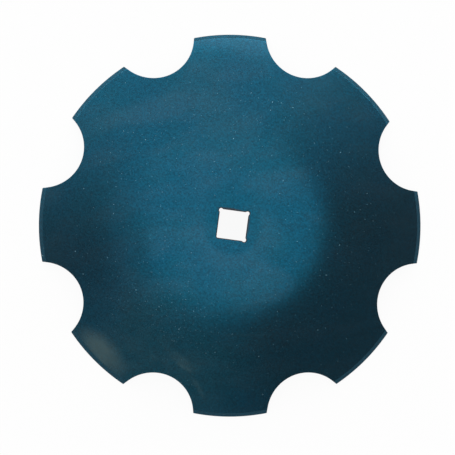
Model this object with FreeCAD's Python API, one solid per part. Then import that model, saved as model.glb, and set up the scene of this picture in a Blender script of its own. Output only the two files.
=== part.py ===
import FreeCAD, Part
import math
import os

# Harrow disc blade, millimetres.
# One pressed steel plate: a spherical dish with a flat centre, a square axle hole, eight scallops cut in
# from the rim, and an outside bevel ground on the eight cutting lands between them.
# The blade lies hollow side down. +Z is the axle, the cutting edge is in the plane z = 0, and X and Y are
# square to the sides of the axle hole.

# ---- driving dimensions ----
blade_dia = 560.0        # over the cutting edge
plate = 5.0              # plate thickness, everywhere but in the bevel
dish_radius = 560.0      # spherical radius of the hollow side
centre_flat_r = 46.0     # flat that the axle spool bears on, up to where the blend starts
blend_r = 150.0          # hollow-side radius of the blend from flat to dish

land = 2.0               # blunt edge left by the grinding, square to the plate
bevel_plan = 6.2         # width of the ground bevel, seen along the axle

notch_count = 8
first_notch_deg = 29.96  # from +X; the hole was punched at no particular angle to the scallops
index_slip_deg = (-0.6, 0.6, 0.15, 0.0, 0.0, 0.0, 0.0, -0.2)   # slip of the punch's indexing, per scallop
notch_centre = 313.2     # scallop outline in the plane z = 0: an ellipse, its centre from the axle,
notch_reach = 90.5       # its half length toward the axle
notch_half = 61.3        # and its half width along the rim

hole_side = 41.0         # square hole, for a 40 mm square axle
relief_r = 3.0           # punched corner reliefs
relief_out = 1.4         # how far a relief reaches past the side of the square
plain_corner_r = 1.5     # the corner with no relief, at -X -Y
rolled_edge = 1.0        # edge drawn in by the punch, round side
burr_break = 0.3         # same edge, hollow side

# ---- dish, from the values above ----
outer_radius = dish_radius + plate
edge_angle = math.asin(blade_dia / 2.0 / (dish_radius + land))
dish_z = -dish_radius * math.cos(edge_angle)     # height of the centre of both spheres
bevel_angle = math.asin((blade_dia / 2.0 - bevel_plan) / outer_radius)
blend_z = dish_z + math.sqrt((dish_radius - blend_r) ** 2 - centre_flat_r ** 2)
flat_z = blend_z + blend_r                       # hollow side of the flat centre


def vec(r, z):
    return FreeCAD.Vector(r, 0.0, z)


def on_dish(radius, angle):
    """Point at a radius and an angle from the axle, about the centre of the spheres."""
    return vec(radius * math.sin(angle), dish_z + radius * math.cos(angle))


def blend_arc(extra):
    """Arc from the flat centre to the dish; extra is 0 on the hollow side and the plate on the round side."""
    radius = blend_r + extra
    end = math.atan2(centre_flat_r, blend_z - dish_z)
    centre = vec(centre_flat_r, blend_z)

    def point(a):
        return centre + vec(radius * math.sin(a), radius * math.cos(a))

    return Part.Arc(point(0.0), point(end / 2.0), point(end)).toShape(), end


def dish_arc(radius, start, end):
    points = [on_dish(radius, start + (end - start) * f) for f in (0.0, 0.5, 1.0)]
    return Part.Arc(*points).toShape()


def line(a, b):
    return Part.makeLine(a, b)


def dished_plate():
    """Whole dish with its bevel, before the hole and the scallops: half section turned about the axle."""
    under_blend, blend_end = blend_arc(0.0)
    over_blend, blend_end = blend_arc(plate)
    edge_low = on_dish(dish_radius, edge_angle)
    edge_high = on_dish(dish_radius + land, edge_angle)
    bevel_top = on_dish(outer_radius, bevel_angle)
    section = [
        line(vec(0.0, flat_z), vec(centre_flat_r, flat_z)),
        under_blend,
        dish_arc(dish_radius, blend_end, edge_angle),
        line(edge_low, edge_high),
        line(edge_high, bevel_top),
        dish_arc(outer_radius, bevel_angle, blend_end),
        over_blend,
        line(vec(centre_flat_r, flat_z + plate), vec(0.0, flat_z + plate)),
        line(vec(0.0, flat_z + plate), vec(0.0, flat_z)),
    ]
    face = Part.Face(Part.Wire(Part.__sortEdges__(section)))
    return face.revolve(FreeCAD.Vector(0, 0, 0), FreeCAD.Vector(0, 0, 1), 360)


def scallop_cutter():
    """Cone with its tip at the centre of the spheres, so its walls are square to the plate everywhere."""

    def outline(z):
        grow = (z - dish_z) / (0.0 - dish_z)
        ellipse = Part.Ellipse(FreeCAD.Vector(0, 0, 0), notch_reach * grow, notch_half * grow).toShape()
        ellipse.translate(FreeCAD.Vector(notch_centre * grow, 0, z))
        return Part.Wire([ellipse])

    return Part.makeLoft([outline(-20.0), outline(60.0)], True, True)


def axle_hole_cutter():
    half = hole_side / 2.0
    low, tall = flat_z - 10.0, plate + 20.0
    square = Part.makeBox(hole_side, hole_side, tall, FreeCAD.Vector(-half, -half, low))
    plain = [e for e in square.Edges if e.Length > tall - 1e-6
             and e.CenterOfMass.x < 0 and e.CenterOfMass.y < 0]
    square = square.makeFillet(plain_corner_r, plain)
    at = half + relief_out - relief_r
    reliefs = [
        Part.makeCylinder(relief_r, tall, FreeCAD.Vector(sx * at, sy * at, low))
        for sx, sy in ((1, 1), (-1, 1), (1, -1))
    ]
    return square.fuse(reliefs).removeSplitter()


def hole_rim(shape, z):
    """Edges of the axle hole that lie in the plane z."""
    reach = hole_side / 2.0 + relief_out + 1.0
    found = []
    for e in shape.Edges:
        b = e.BoundBox
        if abs(b.ZMin - z) < 1e-4 and abs(b.ZMax - z) < 1e-4:
            if max(-b.XMin, b.XMax, -b.YMin, b.YMax) < reach:
                found.append(e)
    return found


def disc_blade():
    blade = dished_plate()
    cutter = scallop_cutter()
    for i in range(notch_count):
        one = cutter.copy()
        turn = first_notch_deg + i * 360.0 / notch_count + index_slip_deg[i]
        one.rotate(FreeCAD.Vector(0, 0, 0), FreeCAD.Vector(0, 0, 1), turn)
        blade = blade.cut(one)
    blade = blade.cut(axle_hole_cutter())
    blade = blade.makeFillet(rolled_edge, hole_rim(blade, flat_z + plate))
    blade = blade.makeChamfer(burr_break, hole_rim(blade, flat_z))
    return blade


os.makedirs("parts", exist_ok=True)
blade = disc_blade()
blade.exportStep("parts/disc_blade.step")
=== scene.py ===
# Harrow disc blade: finish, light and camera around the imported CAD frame.
# Metres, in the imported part's own axes, with the axle along Z and the cutting edge at z = 0.

import math

import bpy
import numpy as np
from mathutils import Matrix, Vector
from mathutils.geometry import delaunay_2d_cdt
from mathutils.kdtree import KDTree


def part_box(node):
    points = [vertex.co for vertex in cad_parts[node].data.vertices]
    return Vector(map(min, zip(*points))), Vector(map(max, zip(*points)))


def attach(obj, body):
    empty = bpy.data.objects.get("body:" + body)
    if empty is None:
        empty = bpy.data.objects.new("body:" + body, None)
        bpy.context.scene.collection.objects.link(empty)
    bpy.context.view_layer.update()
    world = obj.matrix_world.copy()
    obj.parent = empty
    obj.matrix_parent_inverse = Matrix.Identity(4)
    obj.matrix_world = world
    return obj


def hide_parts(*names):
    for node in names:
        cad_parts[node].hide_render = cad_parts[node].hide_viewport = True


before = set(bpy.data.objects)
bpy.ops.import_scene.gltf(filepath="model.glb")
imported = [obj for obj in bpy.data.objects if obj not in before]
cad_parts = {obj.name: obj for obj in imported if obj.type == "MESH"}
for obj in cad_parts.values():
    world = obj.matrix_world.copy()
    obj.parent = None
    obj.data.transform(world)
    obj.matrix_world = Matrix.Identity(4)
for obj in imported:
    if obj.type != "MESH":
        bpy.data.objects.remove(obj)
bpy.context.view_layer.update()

# ---- blade, from the frame and the plate it was pressed from ----
low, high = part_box("disc_blade")
MM = 0.001
RIM_R = (high.x - low.x) / 2.0          # cutting edge
CROWN_Z = high.z                        # round side of the flat centre
PLATE = 5.0 * MM
DISH_R = RIM_R * 2.0                    # spherical radius of the hollow side
OUTER_R = DISH_R + PLATE
CENTRE_FLAT_R = 46.0 * MM
BLEND_R = 150.0 * MM
LAND = 2.0 * MM
BEVEL_PLAN = 6.2 * MM

FIRST_SCALLOP_DEG = 29.96
INDEX_SLIP_DEG = (-0.6, 0.6, 0.15, 0.0, 0.0, 0.0, 0.0, -0.2)
SCALLOP_CENTRE = 313.2 * MM             # ellipse in the plane z = 0
SCALLOP_REACH = 90.5 * MM
SCALLOP_HALF = 61.3 * MM

HOLE_HALF = 20.5 * MM
RELIEF_R = 3.0 * MM
RELIEF_OUT = 1.4 * MM
PLAIN_CORNER_R = 1.5 * MM
ROLLED_EDGE = 1.0 * MM
BROKEN_EDGE = 0.3 * MM                  # every other edge, blunted by blasting and paint
SMEAR = 0.4 * MM                        # row beside each edge that keeps its shading off the faces
HOLLOW_GAP = 0.2 * MM                   # what stands this far off the hollow side counts as ground

# ---- how finely the mesh follows the blade ----
RIM_STEP = 0.2 * MM                     # first an even walk around the rim and scallops
RIM_LONGEST = 2.0 * MM                  # then thinned to this length or this much turn
RIM_TURN_DEG = 4.0
HOLE_STEP = 0.1 * MM
HOLE_LONGEST = 1.5 * MM
HOLE_TURN_DEG = 8.0
CORNER_WINDOW = 1.6 * MM                # rounds the points where two cuts meet
SCALLOP_POINTS = 400
RIM_ARC_POINTS = 200
RELIEF_POINTS = 60
PLAIN_CORNER_POINTS = 20
HALVINGS = 60
EDGE_TURNS_DEG = (0.0, 30.0, 60.0, 90.0)        # points across each blunted edge
CREASE_OFFSETS = (-0.45 * MM, -0.15 * MM, 0.15 * MM, 0.45 * MM)
CREASE_POINTS = 1400
CREASE_CLEAR = 0.25 * MM                # least gap from a crease point to the outline
FILL_REACH = RIM_R * 1.01
FILL_BANDS = (                          # spacing, nearest and farthest distance from an outline
    (1.5 * MM, 1.0 * MM, 3.0 * MM),
    (2.6 * MM, 3.0 * MM, 8.0 * MM),
    (4.5 * MM, 8.0 * MM, 1000.0 * MM))
WELD = 1e-6                             # millimetres

EDGE_ANGLE = math.asin(RIM_R / (DISH_R + LAND))
DISH_Z = -DISH_R * math.cos(EDGE_ANGLE)
BEVEL_ANGLE = math.asin((RIM_R - BEVEL_PLAN) / OUTER_R)
BLEND_Z = CROWN_Z - PLATE - BLEND_R
BLEND_END = math.atan2(CENTRE_FLAT_R, BLEND_Z - DISH_Z)

# ---- view: right and up in the picture, as directions in the XY plane ----
PICTURE_RIGHT_DEG = 7.66
VIEW_DISTANCE = 2.2
VIEW_TILT_DEG = (-2.21, -0.51)          # off the axle, toward the picture's right and up
TARGET_HEIGHT = 0.020
SENSOR_WIDTH = 36.0
LENS_PER_WIDTH = 3.3271
SHIFT_X, SHIFT_Y = -0.0079, -0.0047


# ================================ geometry ================================

def ground_radius(angle):
    """Distance from the spheres' centre to the ground bevel, a straight line in section."""
    a = np.array([OUTER_R * math.sin(BEVEL_ANGLE), OUTER_R * math.cos(BEVEL_ANGLE)])
    edge = DISH_R + LAND
    b = np.array([edge * math.sin(EDGE_ANGLE), edge * math.cos(EDGE_ANGLE)])
    along = (b - a) / np.linalg.norm(b - a)
    square = np.array([along[1], -along[0]])
    return (a @ square) / (np.sin(angle) * square[0] + np.cos(angle) * square[1])


def surfaces(plan):
    """Points of the round side and the hollow side, over plan points of the unground round side."""
    r = np.hypot(plan[:, 0], plan[:, 1])
    way = plan / np.maximum(r, 1e-9)[:, None]
    blend_out = OUTER_R * math.sin(BLEND_END)
    tilt = np.arcsin(np.clip(r / OUTER_R, -1.0, 1.0))
    in_blend = (r > CENTRE_FLAT_R) & (r < blend_out)
    bend = np.arcsin(np.clip((r - CENTRE_FLAT_R) / (BLEND_R + PLATE), 0.0, 1.0))
    tilt = np.where(in_blend, bend, np.where(r <= CENTRE_FLAT_R, 0.0, tilt))
    top_z = DISH_Z + OUTER_R * np.cos(tilt)
    top_z = np.where(in_blend, BLEND_Z + (BLEND_R + PLATE) * np.cos(bend), top_z)
    top_z = np.where(r <= CENTRE_FLAT_R, CROWN_Z, top_z)
    under_r = r - PLATE * np.sin(tilt)
    under_z = top_z - PLATE * np.cos(tilt)
    ground = tilt > BEVEL_ANGLE
    reach = ground_radius(tilt)
    top_r = np.where(ground, reach * np.sin(tilt), r)
    top_z = np.where(ground, DISH_Z + reach * np.cos(tilt), top_z)
    top = np.column_stack([way * top_r[:, None], top_z])
    under = np.column_stack([way * under_r[:, None], under_z])
    return top, under


def closed_length(points):
    steps = np.linalg.norm(np.roll(points, -1, axis=0) - points, axis=1)
    return np.concatenate([[0.0], np.cumsum(steps)])


def even(points, step):
    """Closed outline with points a step apart."""
    run = closed_length(points)
    ring = np.vstack([points, points[:1]])
    at = np.linspace(0.0, run[-1], int(run[-1] / step) + 1)[:-1]
    return np.column_stack([np.interp(at, run, ring[:, i]) for i in (0, 1)])


def round_corners(points, step, window):
    """Averages an even closed outline over a window's length, twice."""
    half = max(1, int(window / step / 2))
    for _ in range(2):
        around = (np.roll(points, k, axis=0) for k in range(-half, half + 1))
        points = sum(around) / (2 * half + 1)
    return points


def thinned(points, step, longest, most_turn_deg):
    """Drops points of an even outline where it runs nearly straight."""
    ahead = np.roll(points, -1, axis=0) - points
    heading = np.unwrap(np.arctan2(ahead[:, 1], ahead[:, 0]))
    kept = [0]
    for i in range(1, len(points)):
        turned = abs(heading[i] - heading[kept[-1]]) > math.radians(most_turn_deg)
        if turned or (i - kept[-1]) * step >= longest:
            kept.append(i)
    return points[kept]


def arc(centre, radius, start_deg, end_deg, count):
    a = np.radians(np.linspace(start_deg, end_deg, count))
    return np.column_stack([centre[0] + radius * np.cos(a), centre[1] + radius * np.sin(a)])


def turned(points, degrees):
    c, s = math.cos(math.radians(degrees)), math.sin(math.radians(degrees))
    return points @ np.array([[c, s], [-s, c]])


def scallop_limit():
    """Ellipse parameter where a scallop meets the rim, by halving."""
    rim = DISH_R * math.sin(EDGE_ANGLE)
    near, far = math.pi, math.pi / 2
    for _ in range(HALVINGS):
        mid = (near + far) / 2
        x = SCALLOP_CENTRE + SCALLOP_REACH * math.cos(mid)
        y = SCALLOP_HALF * math.sin(mid)
        near, far = (mid, far) if math.hypot(x, y) < rim else (near, mid)
    return near


def rim_outline():
    """Rim and scallops, anticlockwise, over the unground round side."""
    limit = scallop_limit()
    t = np.linspace(2 * math.pi - limit, limit, SCALLOP_POINTS)
    flat = np.column_stack([SCALLOP_CENTRE + SCALLOP_REACH * np.cos(t),
                            SCALLOP_HALF * np.sin(t)])
    lean = np.arctan(np.hypot(flat[:, 0], flat[:, 1]) / -DISH_Z)
    scallop = flat * (OUTER_R * np.sin(lean) / np.hypot(flat[:, 0], flat[:, 1]))[:, None]
    half_deg = math.degrees(math.atan2(scallop[-1, 1], scallop[-1, 0]))
    pitch = 360.0 / len(INDEX_SLIP_DEG)
    at = [FIRST_SCALLOP_DEG + pitch * i + slip for i, slip in enumerate(INDEX_SLIP_DEG)]
    parts = []
    for i, angle in enumerate(at):
        following = at[(i + 1) % len(at)] + (360.0 if i + 1 == len(at) else 0.0)
        parts.append(turned(scallop, angle))
        rim_r = OUTER_R * math.sin(EDGE_ANGLE)
        rim = arc((0, 0), rim_r, angle + half_deg, following - half_deg, RIM_ARC_POINTS)
        parts.append(rim[1:-1])
    return np.vstack(parts)


def hole_outline():
    """Square axle hole, anticlockwise, with three punched reliefs and one plain corner."""
    at = HOLE_HALF + RELIEF_OUT - RELIEF_R
    start = math.degrees(math.acos((HOLE_HALF - at) / RELIEF_R))
    relief = arc((at, at), RELIEF_R, -start, 90.0 + start, RELIEF_POINTS)
    plain_at = HOLE_HALF - PLAIN_CORNER_R
    plain = arc((plain_at, plain_at), PLAIN_CORNER_R, 0.0, 90.0, PLAIN_CORNER_POINTS)
    corners = [relief, relief, plain, relief]
    return np.vstack([turned(c, 90.0 * i) for i, c in enumerate(corners)])


def inset(points, width, material_left):
    """Closed outline moved into the material."""
    along = np.roll(points, -1, axis=0) - np.roll(points, 1, axis=0)
    along /= np.linalg.norm(along, axis=1)[:, None]
    left = np.column_stack([-along[:, 1], along[:, 0]])
    return points + left * (width if material_left else -width)


def tree_of(points):
    tree = KDTree(len(points))
    for i, p in enumerate(points):
        tree.insert((p[0], p[1], 0.0), i)
    tree.balance()
    return tree


def hexagonal(reach, pitch):
    rows = np.arange(-reach, reach, pitch * math.sqrt(3) / 2)
    columns = np.arange(-reach, reach, pitch)
    grid = [np.column_stack([columns + (i % 2) * pitch / 2, np.full(len(columns), y)])
            for i, y in enumerate(rows)]
    return np.vstack(grid)


def filling(outlines, is_inside):
    """Points that fill the plate, closer together beside an outline."""
    tree = tree_of(np.vstack(outlines))
    found = []
    for pitch, nearest, farthest in FILL_BANDS:
        for p in hexagonal(FILL_REACH, pitch):
            if is_inside(p):
                gap = tree.find((p[0], p[1], 0.0))[2]
                if nearest <= gap < farthest:
                    found.append(p)
    return np.array(found)


def inside_test(outline):
    """Test of a point against a star-shaped outline, by its angle about the axle."""
    angle = np.arctan2(outline[:, 1], outline[:, 0])
    order = np.argsort(angle)
    angle, radius = angle[order], np.hypot(outline[:, 0], outline[:, 1])[order]

    def is_inside(p):
        edge = np.interp(math.atan2(p[1], p[0]), angle, radius, period=2 * math.pi)
        return math.hypot(p[0], p[1]) < edge

    return is_inside


def crease_rings(is_inside, tree):
    """Points either side of the bevel's inner edge, so that it stays crisp."""
    rings = []
    for offset in CREASE_OFFSETS:
        radius = OUTER_R * math.sin(BEVEL_ANGLE) + offset
        ring = arc((0, 0), radius, 0.0, 360.0, CREASE_POINTS)[:-1]
        good = [is_inside(p) and tree.find((p[0], p[1], 0.0))[2] > CREASE_CLEAR for p in ring]
        rings.append((ring, good))
    return rings


def edge_rows(outline, material_left, round_top, round_under):
    """Rows of points from the round side, over the cut edge, to the hollow side."""
    inner = max(round_top, round_under) + SMEAR
    top, under = surfaces(outline)
    down = (under - top) / np.linalg.norm(under - top, axis=1)[:, None]
    rows = [surfaces(inset(outline, inner, material_left))[0]]
    edges = ((top, 0, round_top, 1.0), (under, 1, round_under, -1.0))
    for corner, side, radius, sense in edges:
        start = surfaces(inset(outline, radius, material_left))[side]
        back = (start - corner) / np.linalg.norm(start - corner, axis=1)[:, None]
        bend = [corner + radius * (back * (1 - math.sin(a)) + sense * down * (1 - math.cos(a)))
                for a in np.radians(EDGE_TURNS_DEG)]
        rows += bend if side == 0 else bend[::-1]
    rows.append(surfaces(inset(outline, inner, material_left))[1])
    return rows


def smooth_outline(points, step, longest, most_turn_deg):
    rounded = round_corners(even(points, step), step, CORNER_WINDOW)
    return thinned(rounded, step, longest, most_turn_deg)


def blade_mesh():
    """Vertices and faces of the whole skin, and the number of the axle hole's first wall vertex."""
    rim = smooth_outline(rim_outline(), RIM_STEP, RIM_LONGEST, RIM_TURN_DEG)
    hole = smooth_outline(hole_outline(), HOLE_STEP, HOLE_LONGEST, HOLE_TURN_DEG)
    rim_rows = edge_rows(rim, True, BROKEN_EDGE, BROKEN_EDGE)
    hole_rows = edge_rows(hole, False, ROLLED_EDGE, BROKEN_EDGE)
    rim_in = inset(rim, BROKEN_EDGE + SMEAR, True)
    hole_in = inset(hole, ROLLED_EDGE + SMEAR, False)

    within_rim, within_hole = inside_test(rim_in), inside_test(hole_in)
    crease = crease_rings(within_rim, tree_of(rim_in))
    points = [rim_in, hole_in]
    edges = []
    count = 0
    for outline in points:
        edges += [(count + i, count + (i + 1) % len(outline)) for i in range(len(outline))]
        count += len(outline)
    for ring, good in crease:
        number = {}
        for i, p in enumerate(ring):
            if good[i]:
                number[i] = count + len(number)
        following = {i: (i + 1) % len(ring) for i in number}
        edges += [(number[i], number[j]) for i, j in following.items() if j in number]
        points.append(ring[list(number)])
        count += len(number)

    def on_plate(p):
        return within_rim(p) and not within_hole(p)

    points.append(filling(list(points), on_plate))
    plan = np.vstack(points)

    scale = 1.0 / MM
    made = delaunay_2d_cdt([Vector(p * scale) for p in plan], edges, [], 0, WELD)
    plan = np.array([v[:] for v in made[0]]) * MM
    home = {}
    for new, olds in enumerate(made[3]):
        for old in olds:
            home[old] = new
    faces = [tuple(f) for f in made[2] if on_plate(plan[list(f)].mean(axis=0))]
    top, under = surfaces(plan)
    vertices = [top, under]
    total = len(plan)
    polygons = faces + [tuple(i + total for i in reversed(f)) for f in faces]
    base = 2 * total
    walls = ((rim_rows, 0, True), (hole_rows, len(rim_in), False))
    for rows, first, material_left in walls:
        wall_start = base
        n = len(rows[0])
        index = [[home[first + i] for i in range(n)]]
        for row in rows[1:-1]:
            vertices.append(row)
            index.append([base + i for i in range(n)])
            base += n
        index.append([home[first + i] + total for i in range(n)])
        for a, b in zip(index, index[1:]):
            for i in range(n):
                j = (i + 1) % n
                quad = (a[i], b[i], b[j], a[j])
                polygons.append(quad if material_left else quad[::-1])
    return np.vstack(vertices), polygons, wall_start


def mark(mesh, name, values):
    """Number per vertex, for the material to read."""
    mesh.attributes.new(name, "FLOAT", "POINT").data.foreach_set("value", values.astype(np.float32))


def build_blade():
    vertices, polygons, hole_start = blade_mesh()
    mesh = bpy.data.meshes.new("blade_plate")
    mesh.from_pydata([tuple(v) for v in vertices], [], polygons)
    mesh.validate()
    mesh.polygons.foreach_set("use_smooth", [True] * len(mesh.polygons))
    mesh.update()
    out, up = np.hypot(vertices[:, 0], vertices[:, 1]), vertices[:, 2] - DISH_Z
    beyond_bevel = np.arctan2(out, up) > BEVEL_ANGLE
    mark(mesh, "ground", beyond_bevel & (np.hypot(out, up) > DISH_R + HOLLOW_GAP))
    mark(mesh, "cut", np.arange(len(vertices)) >= hole_start)
    blade = bpy.data.objects.new("blade_plate", mesh)
    bpy.context.scene.collection.objects.link(blade)
    return blade


# ================================ shader helpers ================================

class Nodes:
    """Short calls for building a node tree."""

    def __init__(self, tree):
        self.tree = tree
        tree.nodes.clear()

    def add(self, kind, inputs=(), **settings):
        node = self.tree.nodes.new(kind)
        for name, value in settings.items():
            setattr(node, name, value)
        for socket, value in dict(inputs).items():
            if isinstance(value, bpy.types.NodeSocket):
                self.tree.links.new(value, node.inputs[socket])
            else:
                node.inputs[socket].default_value = value
        return node

    def math(self, operation, a, b=0.0, clamp=False):
        node = self.add("ShaderNodeMath", {0: a, 1: b}, operation=operation, use_clamp=clamp)
        return node.outputs[0]

    def remap(self, value, low, high, to_low=0.0, to_high=1.0, smooth=True):
        kind = "SMOOTHSTEP" if smooth else "LINEAR"
        inputs = {"Value": value, "From Min": low, "From Max": high,
                  "To Min": to_low, "To Max": to_high}
        node = self.add("ShaderNodeMapRange", inputs, interpolation_type=kind, clamp=True)
        return node.outputs[0]

    def even_remap(self, value, low, high, to_low, to_high):
        return self.remap(value, low, high, to_low, to_high, smooth=False)

    def blend(self, share, a, b):
        """Mix of two numbers."""
        return self.add("ShaderNodeMix", {0: share, 2: a, 3: b}, data_type="FLOAT").outputs[0]

    def vector(self, operation, a, b, output=0):
        node = self.add("ShaderNodeVectorMath", {0: a, 1: b}, operation=operation)
        return node.outputs[output]

    def flattened(self, vector):
        """A vector without its height."""
        return self.vector("MULTIPLY", vector, (1.0, 1.0, 0.0))

    def length(self, vector):
        node = self.add("ShaderNodeVectorMath", {0: vector}, operation="LENGTH")
        return node.outputs["Value"]

    def voronoi(self, where, scale, dimensions="3D"):
        return self.add("ShaderNodeTexVoronoi", {"Vector": where, "Scale": scale}, feature="F1",
                        voronoi_dimensions=dimensions)

    def channels(self, colour):
        return self.add("ShaderNodeSeparateColor", {0: colour}).outputs

    def mark(self, name):
        return self.add("ShaderNodeAttribute", attribute_name=name).outputs["Fac"]

    def noise(self, where, scale, detail=2.0, roughness=0.5, distortion=0.0):
        inputs = {"Vector": where, "Scale": scale, "Detail": detail, "Roughness": roughness,
                  "Distortion": distortion}
        return self.add("ShaderNodeTexNoise", inputs, noise_dimensions="3D").outputs["Fac"]

    def mix(self, share, a, b):
        node = self.add("ShaderNodeMix", data_type="RGBA")
        for socket, value in ((0, share), (6, a), (7, b)):
            if isinstance(value, bpy.types.NodeSocket):
                self.tree.links.new(value, node.inputs[socket])
            else:
                node.inputs[socket].default_value = value
        return node.outputs[2]


def rgb(r, g, b):
    return (r, g, b, 1.0)


def picture_direction(angle_deg):
    """Level unit vector for an angle in the picture, anticlockwise from its right."""
    a = math.radians(angle_deg + PICTURE_RIGHT_DEG)
    return Vector((math.cos(a), math.sin(a), 0.0))


# ================================ materials ================================

# ---- the coat ----
LACQUER = rgb(0.0018, 0.0590, 0.1040)
GREENER_LACQUER = rgb(0.0024, 0.0600, 0.0900)   # where the coat is thinner, low in the picture
SHADED_GROUND_LACQUER = rgb(0.0040, 0.0500, 0.0820)    # over the ground bevel, which is rougher; painted darker, as shade that dims its reflection
EDGE_TINT = rgb(0.55, 0.60, 0.65)               # the lacquer's sheen at a grazing angle
ROUGHNESS = (0.17, 0.23)
GROUND_ROUGHER = 0.28
COAT = (0.01, 0.21)
GROUND_COAT = 0.07
COAT_ROUGHNESS = 0.08
GRAIN_SCALE = 420.0                             # blasted steel under the coat
GRAIN_SHADE = (0.62, 1.02)
GRAIN_HEIGHT = 0.000014
FLAKE_SCALE = 620.0
FLAKE_SHADE = (-0.07, 0.43)
WAVE_SCALE = 14.0                               # flow of the wet paint
WAVE_HEIGHT = 0.0004

# ---- what lies on it; an oval is its angle in the picture, distance from the axle, heading in
# ---- the picture, half length and half width ----
THIN_OVAL = (245.0, 0.200, 0.0, 0.150, 0.120)
THIN_OVAL_SHARE = 0.5
THIN_DRIFT_SCALE = 13.0
THIN_DRIFT_SHARE = 0.25
BAND_OVAL = (119.0, 0.196, 13.0, 0.125, 0.024)  # long pale band, upper left
BAND_SHARE = 0.9
RIM_OVAL = (88.0, 0.290, 0.0, 0.110, 0.050)
CRESCENT_OVAL = (275.0, 0.018, 0.0, 0.085, 0.062)
CRESCENT_FROM = (0.036, 0.048)                  # distance from the axle
DRIFT_TURN_DEG = 8.0
DRIFT_STRETCH = 2.2
BROAD_DRIFT_SCALE = 22.0
FINE_DRIFT_SCALE = 60.0

DUST = rgb(0.120, 0.165, 0.140)
SHEEN = 0.017                                   # film of fine dust over everything
MOTTLE_SCALE = 42.0
SMUDGE_OVAL = (224.5, 0.262, -46.0, 0.056, 0.028)
SMUDGE_SHARE = 0.36
FILM_OVAL = (238.0, 0.225, -40.0, 0.140, 0.080)
FILM_SHARE = 0.05
WIPES = (                                       # ovals of a rag's faint strokes, and their dust
    (249.0, 0.207, -38.0, 0.040, 0.010, 0.09),
    (252.0, 0.216, -30.0, 0.022, 0.004, 0.10),
    (258.0, 0.238, -62.0, 0.030, 0.006, 0.09),
    (240.0, 0.214, -20.0, 0.030, 0.012, 0.07),
    (276.0, 0.158, 0.0, 0.060, 0.003, 0.05))

SPECK = rgb(0.20, 0.38, 0.45)
SPECK_SIZES = (0.5, 1.0)
SPECK_STRENGTHS = (0.10, 0.85)
COARSE_SPECKS = (64.0, 0.00070)                 # cells to the metre and largest radius
FINE_SPECKS = (150.0, 0.00050)
FINE_SPECK_SHARE = 0.7
SPECKS_BEGIN = (0.04, 0.09)                     # few by the axle, and few by the rim
SPECKS_END = (0.185, 0.235)
SPECK_RING_SHARE = 0.22
SPECK_OVAL = (235.0, 0.150, -35.0, 0.110, 0.060)
SPECK_OVAL_SHARE = 0.4

BARE_STEEL_AND_PAINTED_SHADE = rgb(0.030, 0.022, 0.020)                 # sheared steel in the axle hole's wall; also the painted shade beside the hole's top and right edges
CUT_BARE = 0.9
PAINTED_SHADE_BARE = 0.75
# painted shade: thin dark strips beside the hole's top and right edges stand in for its inner wall
# in shadow
TOP_PAINTED_SHADE_OVAL = (97.0, 0.0222, -PICTURE_RIGHT_DEG, 0.024, 0.0030)
SIDE_PAINTED_SHADE_OVAL = (0.0, 0.0222, 90.0 - PICTURE_RIGHT_DEG, 0.022, 0.0022)
SIDE_PAINTED_SHADE_SHARE = 0.6


def patch(n, where, angle_deg, radius, heading_deg, half_length, half_width):
    """Soft oval on the blade: 1 at its middle, 0 at its edge."""
    middle = picture_direction(angle_deg) * radius
    heading = math.radians(heading_deg + PICTURE_RIGHT_DEG)
    moved = n.add("ShaderNodeMapping", {
        "Vector": where, "Location": middle, "Rotation": (0.0, 0.0, heading),
        "Scale": (half_length, half_width, 1.0)}, vector_type="TEXTURE").outputs[0]
    return n.remap(n.length(n.flattened(moved)), 0.25, 1.0, 1.0, 0.0)


def share_of(n, value, share):
    return n.math("MULTIPLY", value, share)


def specks(n, where, scale, radius, share):
    """Dots of dust under the coat, in a share of a plan pattern's cells, each with its strength."""
    cells = n.voronoi(where, scale, "2D")
    chance = n.channels(cells.outputs["Color"])
    chosen = n.math("LESS_THAN", chance[0], share)
    size = share_of(n, n.even_remap(chance[1], 0.0, 1.0, *SPECK_SIZES), radius * scale)
    near = n.math("LESS_THAN", cells.outputs["Distance"], size)
    strength = n.even_remap(n.math("POWER", chance[2], 2.0), 0.0, 1.0, *SPECK_STRENGTHS)
    return n.math("MULTIPLY", n.math("MULTIPLY", near, chosen), strength)


def haze(n, where, from_axle):
    """Where the clear coat is thicker: broad drifts along the picture's right and one long band."""
    drift = n.add("ShaderNodeMapping", {
        "Vector": where, "Rotation": (0.0, 0.0, math.radians(PICTURE_RIGHT_DEG + DRIFT_TURN_DEG)),
        "Scale": (DRIFT_STRETCH, 1.0, 1.0)}, vector_type="TEXTURE").outputs[0]
    broad = n.remap(n.noise(drift, BROAD_DRIFT_SCALE, 3.0, 0.5, 0.3), 0.36, 0.74)
    fine = n.remap(n.noise(drift, FINE_DRIFT_SCALE, 2.0, 0.5), 0.3, 0.7, 0.7, 1.0)
    band = share_of(n, patch(n, where, *BAND_OVAL), BAND_SHARE)
    rim = patch(n, where, *RIM_OVAL)
    crescent = n.math("MULTIPLY", patch(n, where, *CRESCENT_OVAL),
                      n.remap(from_axle, *CRESCENT_FROM))
    cloud = n.math("MULTIPLY", broad, fine)
    return n.math("ADD", n.math("ADD", cloud, band), n.math("ADD", rim, crescent), clamp=True)


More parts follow.
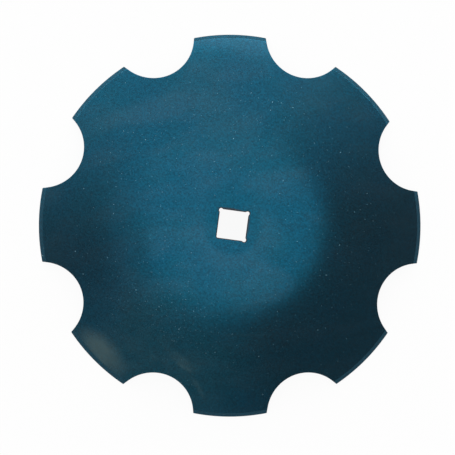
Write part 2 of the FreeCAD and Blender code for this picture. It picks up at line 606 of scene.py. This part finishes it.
def dust_cover(n, where, ground):
    """Share of the surface under smudge, strokes and film; the bevel is clean."""
    mottle = n.remap(n.noise(where, MOTTLE_SCALE, 4.0, 0.6), 0.32, 0.68)
    smudge = share_of(n, patch(n, where, *SMUDGE_OVAL), SMUDGE_SHARE)
    light = share_of(n, patch(n, where, *FILM_OVAL), FILM_SHARE)
    for *oval, share in WIPES:
        light = n.math("ADD", light, share_of(n, patch(n, where, *oval), share))
    dust = n.math("ADD", n.math("MULTIPLY", light, n.remap(mottle, 0.0, 1.0, 0.35, 1.0)),
                  n.math("MULTIPLY", smudge, n.remap(mottle, 0.0, 1.0, 0.8, 1.0)), clamp=True)
    return n.math("MULTIPLY", dust, n.math("SUBTRACT", 1.0, ground))


def speck_cover(n, where, from_axle):
    ring = n.math("MULTIPLY", n.remap(from_axle, *SPECKS_BEGIN, 0.15, 1.0),
                  n.remap(from_axle, *SPECKS_END, 1.0, 0.2))
    dense = n.math("ADD", share_of(n, ring, SPECK_RING_SHARE),
                   share_of(n, patch(n, where, *SPECK_OVAL), SPECK_OVAL_SHARE))
    fine = specks(n, where, *FINE_SPECKS, n.math("MULTIPLY", dense, 2.0))
    return n.math("ADD", specks(n, where, *COARSE_SPECKS, dense),
                  share_of(n, fine, FINE_SPECK_SHARE), clamp=True)


def bare_and_painted_shade_cover(n, where, cut):
    # bare steel on the hole's wall, and painted shade: two thin dark strips beside the hole's top
    # and right edges
    side = share_of(n, patch(n, where, *SIDE_PAINTED_SHADE_OVAL), SIDE_PAINTED_SHADE_SHARE)
    painted_shade = n.math("ADD", patch(n, where, *TOP_PAINTED_SHADE_OVAL), side, clamp=True)
    return n.math("MAXIMUM", share_of(n, cut, CUT_BARE), share_of(n, painted_shade, PAINTED_SHADE_BARE))


def lacquer():
    """Thin dark blue lacquer over blasted steel: tinted metal under an uneven, dusty clear coat,
    with painted shade on the ground bevel and beside the axle hole.
    """
    material = bpy.data.materials.new("blue_lacquer")
    material.use_nodes = True
    n = Nodes(material.node_tree)
    where = n.add("ShaderNodeTexCoord").outputs["Object"]
    ground = n.mark("ground")
    from_axle = n.length(n.flattened(where))

    grain = n.noise(where, GRAIN_SCALE, 3.0, 0.7)
    flake = n.channels(n.voronoi(where, FLAKE_SCALE).outputs["Color"])[0]
    shade = n.math("ADD", n.even_remap(grain, 0.25, 0.75, *GRAIN_SHADE),
                   n.even_remap(flake, 0.0, 1.0, *FLAKE_SHADE))
    drift = n.remap(n.noise(where, THIN_DRIFT_SCALE, 3.0), 0.40, 0.62)
    thin = n.math("ADD", share_of(n, drift, THIN_DRIFT_SHARE),
                  share_of(n, patch(n, where, *THIN_OVAL), THIN_OVAL_SHARE), clamp=True)
    # the ground bevel's darker colour is painted shade
    colour = n.mix(ground, n.mix(thin, LACQUER, GREENER_LACQUER), SHADED_GROUND_LACQUER)
    colour = n.add("ShaderNodeVectorMath", {0: colour, "Scale": shade},
                   operation="SCALE").outputs[0]

    dust = dust_cover(n, where, ground)
    dots = speck_cover(n, where, from_axle)
    colour = n.mix(dots, n.mix(dust, colour, DUST), SPECK)
    # the hole's bare wall, and painted shade beside its top and right edges
    colour = n.mix(bare_and_painted_shade_cover(n, where, n.mark("cut")), colour, BARE_STEEL_AND_PAINTED_SHADE)

    metallic = n.math("SUBTRACT", 1.0, n.math("MAXIMUM", dots, dust), clamp=True)
    rough = n.math("ADD", n.even_remap(grain, 0.3, 0.7, *ROUGHNESS),
                   share_of(n, ground, GROUND_ROUGHER))
    coat = n.blend(ground, n.even_remap(haze(n, where, from_axle), 0.0, 1.0, *COAT), GROUND_COAT)
    height = n.math("ADD", share_of(n, grain, GRAIN_HEIGHT),
                    share_of(n, n.noise(where, WAVE_SCALE, 1.0), WAVE_HEIGHT))
    bump = n.add("ShaderNodeBump", {"Height": height, "Strength": 1.0, "Distance": 1.0})
    shader = n.add("ShaderNodeBsdfPrincipled", {
        "Base Color": colour, "Metallic": metallic, "Roughness": rough, "Normal": bump.outputs[0],
        "Specular Tint": EDGE_TINT, "Coat Weight": coat, "Coat Roughness": COAT_ROUGHNESS,
        "Sheen Weight": SHEEN, "Sheen Roughness": 1.0})
    n.add("ShaderNodeOutputMaterial", {"Surface": shader.outputs[0]})
    return material


# ================================ stage ================================

FLOOR_HALF = 6.0
FLOOR_COLOUR = rgb(0.82, 0.82, 0.82)
FLOOR_WHITE = 0.93                      # the rest takes the shadow


def paper():
    """Plain pale floor: white to the camera and in reflections, less the object's shadow."""
    material = bpy.data.materials.new("paper")
    material.use_nodes = True
    n = Nodes(material.node_tree)
    path = n.add("ShaderNodeLightPath")
    seen = n.math("ADD", path.outputs["Is Camera Ray"], path.outputs["Is Glossy Ray"], clamp=True)
    seen = n.math("ADD", seen, path.outputs["Is Transmission Ray"], clamp=True)
    share = n.math("MULTIPLY", seen, FLOOR_WHITE)
    diffuse = n.add("ShaderNodeBsdfDiffuse", {"Color": FLOOR_COLOUR})
    white = n.add("ShaderNodeEmission", {"Color": rgb(1, 1, 1), "Strength": 1.0})
    mixed = n.add("ShaderNodeMixShader",
                  {0: share, 1: diffuse.outputs[0], 2: white.outputs[0]})
    n.add("ShaderNodeOutputMaterial", {"Surface": mixed.outputs[0]})
    return material


def build_floor():
    mesh = bpy.data.meshes.new("floor")
    half = FLOOR_HALF
    corners = [(-half, -half, 0), (half, -half, 0), (half, half, 0), (-half, half, 0)]
    mesh.from_pydata(corners, [], [(0, 1, 2, 3)])
    floor = bpy.data.objects.new("floor", mesh)
    floor.data.materials.append(paper())
    bpy.context.scene.collection.objects.link(floor)


# ---- light: a round softbox overhead, which gives a level surface about 1, and the walls ----
KEY_RADIANCE = 1.6
KEY_LEAN_DEG = 2.7
KEY_LEAN_TOWARD_DEG = 25.0              # picture angle
KEY_EDGE_DEG = (31.2, 27.2)             # from nothing to full, off its own axis
WALL_LOW = 0.170                        # studio walls, as a share of the key
WALL_HIGH = 0.90
WALL_BRIGHT_DEG = 102.0                 # picture angle of the bright wall
WALL_WRAP = 0.2                         # how far it reaches around
WALL_RANGE = 1.06
WALL_POWER = 1.8
WALL_SIDE_DEG = 240.0                   # a paler stretch at the lower left
WALL_SIDE = 0.19
WALL_SIDE_FROM = 0.6                    # cosine of the angle where it begins
PANEL = 0.78                            # extra on the bright wall, low down
PANEL_DEG = (57.0, 67.5)
PANEL_TOWARD_DEG = 88.0
PANEL_SIDE_DEG = (38.0, 10.0)
STRIP = 4.0                             # lamp strip along the foot of the bright wall
STRIP_DEG = (76.0, 84.0)
STRIP_TOWARD_DEG = 92.0
STRIP_SIDE_DEG = (86.0, 55.0)
HALO = 0.30                             # bounce beside the softbox, on the picture's left
HALO_LEAN_DEG = 10.0
HALO_TOWARD_DEG = 190.0
HALO_EDGE_DEG = (34.0, 20.0)


def cosines(angles_deg):
    return (math.cos(math.radians(a)) for a in angles_deg)


def build_light():
    """Plain studio: a large round softbox overhead, and walls that are bright on one side."""
    world = bpy.data.worlds.new("studio")
    world.use_nodes = True
    bpy.context.scene.world = world
    n = Nodes(world.node_tree)
    way = n.add("ShaderNodeTexCoord").outputs["Generated"]

    def along(vector, direction):
        return n.vector("DOT_PRODUCT", vector, direction, "Value")

    level = n.flattened(way)
    level = n.add("ShaderNodeVectorMath", {0: level}, operation="NORMALIZE").outputs[0]
    height = along(way, Vector((0, 0, 1)))

    def low_lamp(amount, polar_deg, toward_deg, side_deg):
        down = n.remap(height, *cosines(polar_deg))
        over = n.remap(along(level, picture_direction(toward_deg)), *cosines(side_deg))
        return n.math("MULTIPLY", n.math("MULTIPLY", down, over), amount)

    def overhead(lean_deg, toward_deg, edge_deg):
        lean = picture_direction(toward_deg) * math.tan(math.radians(lean_deg))
        axis = (Vector((0, 0, 1)) + lean).normalized()
        return n.remap(along(way, axis), *cosines(edge_deg))

    facing = along(level, picture_direction(WALL_BRIGHT_DEG))
    bright = n.math("DIVIDE", n.math("ADD", facing, WALL_WRAP), WALL_RANGE, clamp=True)
    bright = n.math("POWER", bright, WALL_POWER)
    beside = n.remap(along(level, picture_direction(WALL_SIDE_DEG)), WALL_SIDE_FROM, 1.0)
    walls = n.math("ADD", n.math("MULTIPLY", bright, WALL_HIGH - WALL_LOW), WALL_LOW)
    walls = n.math("ADD", walls, n.math("MULTIPLY", beside, WALL_SIDE))
    walls = n.math("ADD", walls, low_lamp(PANEL, PANEL_DEG, PANEL_TOWARD_DEG, PANEL_SIDE_DEG))
    walls = n.math("ADD", walls, low_lamp(STRIP, STRIP_DEG, STRIP_TOWARD_DEG, STRIP_SIDE_DEG))
    halo = n.math("MULTIPLY", overhead(HALO_LEAN_DEG, HALO_TOWARD_DEG, HALO_EDGE_DEG), HALO)
    walls = n.math("ADD", walls, halo)
    key = overhead(KEY_LEAN_DEG, KEY_LEAN_TOWARD_DEG, KEY_EDGE_DEG)
    share = n.blend(key, walls, 1.0)

    path = n.add("ShaderNodeLightPath")
    lit = n.add("ShaderNodeBackground", {"Strength": n.math("MULTIPLY", share, KEY_RADIANCE)})
    white = n.add("ShaderNodeBackground", {"Strength": 1.0})
    for background in (lit, white):
        background.inputs["Color"].default_value = rgb(1, 1, 1)
    seen = n.add("ShaderNodeMixShader",
                 {0: path.outputs["Is Camera Ray"], 1: lit.outputs[0], 2: white.outputs[0]})
    n.add("ShaderNodeOutputWorld", {"Surface": seen.outputs[0]})


def build_camera():
    right, up = picture_direction(0.0), picture_direction(90.0)
    back = (Vector((0, 0, 1)) + right * math.tan(math.radians(VIEW_TILT_DEG[0]))
            + up * math.tan(math.radians(VIEW_TILT_DEG[1]))).normalized()
    across = (right - back * right.dot(back)).normalized()
    turn = Matrix((across, back.cross(across), back)).transposed()
    data = bpy.data.cameras.new("camera")
    data.sensor_width = SENSOR_WIDTH
    data.lens = SENSOR_WIDTH * LENS_PER_WIDTH
    data.shift_x = SHIFT_X
    data.shift_y = SHIFT_Y
    camera = bpy.data.objects.new("camera", data)
    place = Vector((0, 0, TARGET_HEIGHT)) + back * VIEW_DISTANCE
    camera.matrix_world = Matrix.Translation(place) @ turn.to_4x4()
    bpy.context.scene.collection.objects.link(camera)
    bpy.context.scene.camera = camera


# ================================ scene ================================

bpy.context.scene.view_settings.view_transform = "Standard"

blade = build_blade()
blade.data.materials.append(lacquer())
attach(blade, "root")
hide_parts("disc_blade")

build_floor()
build_light()
build_camera()
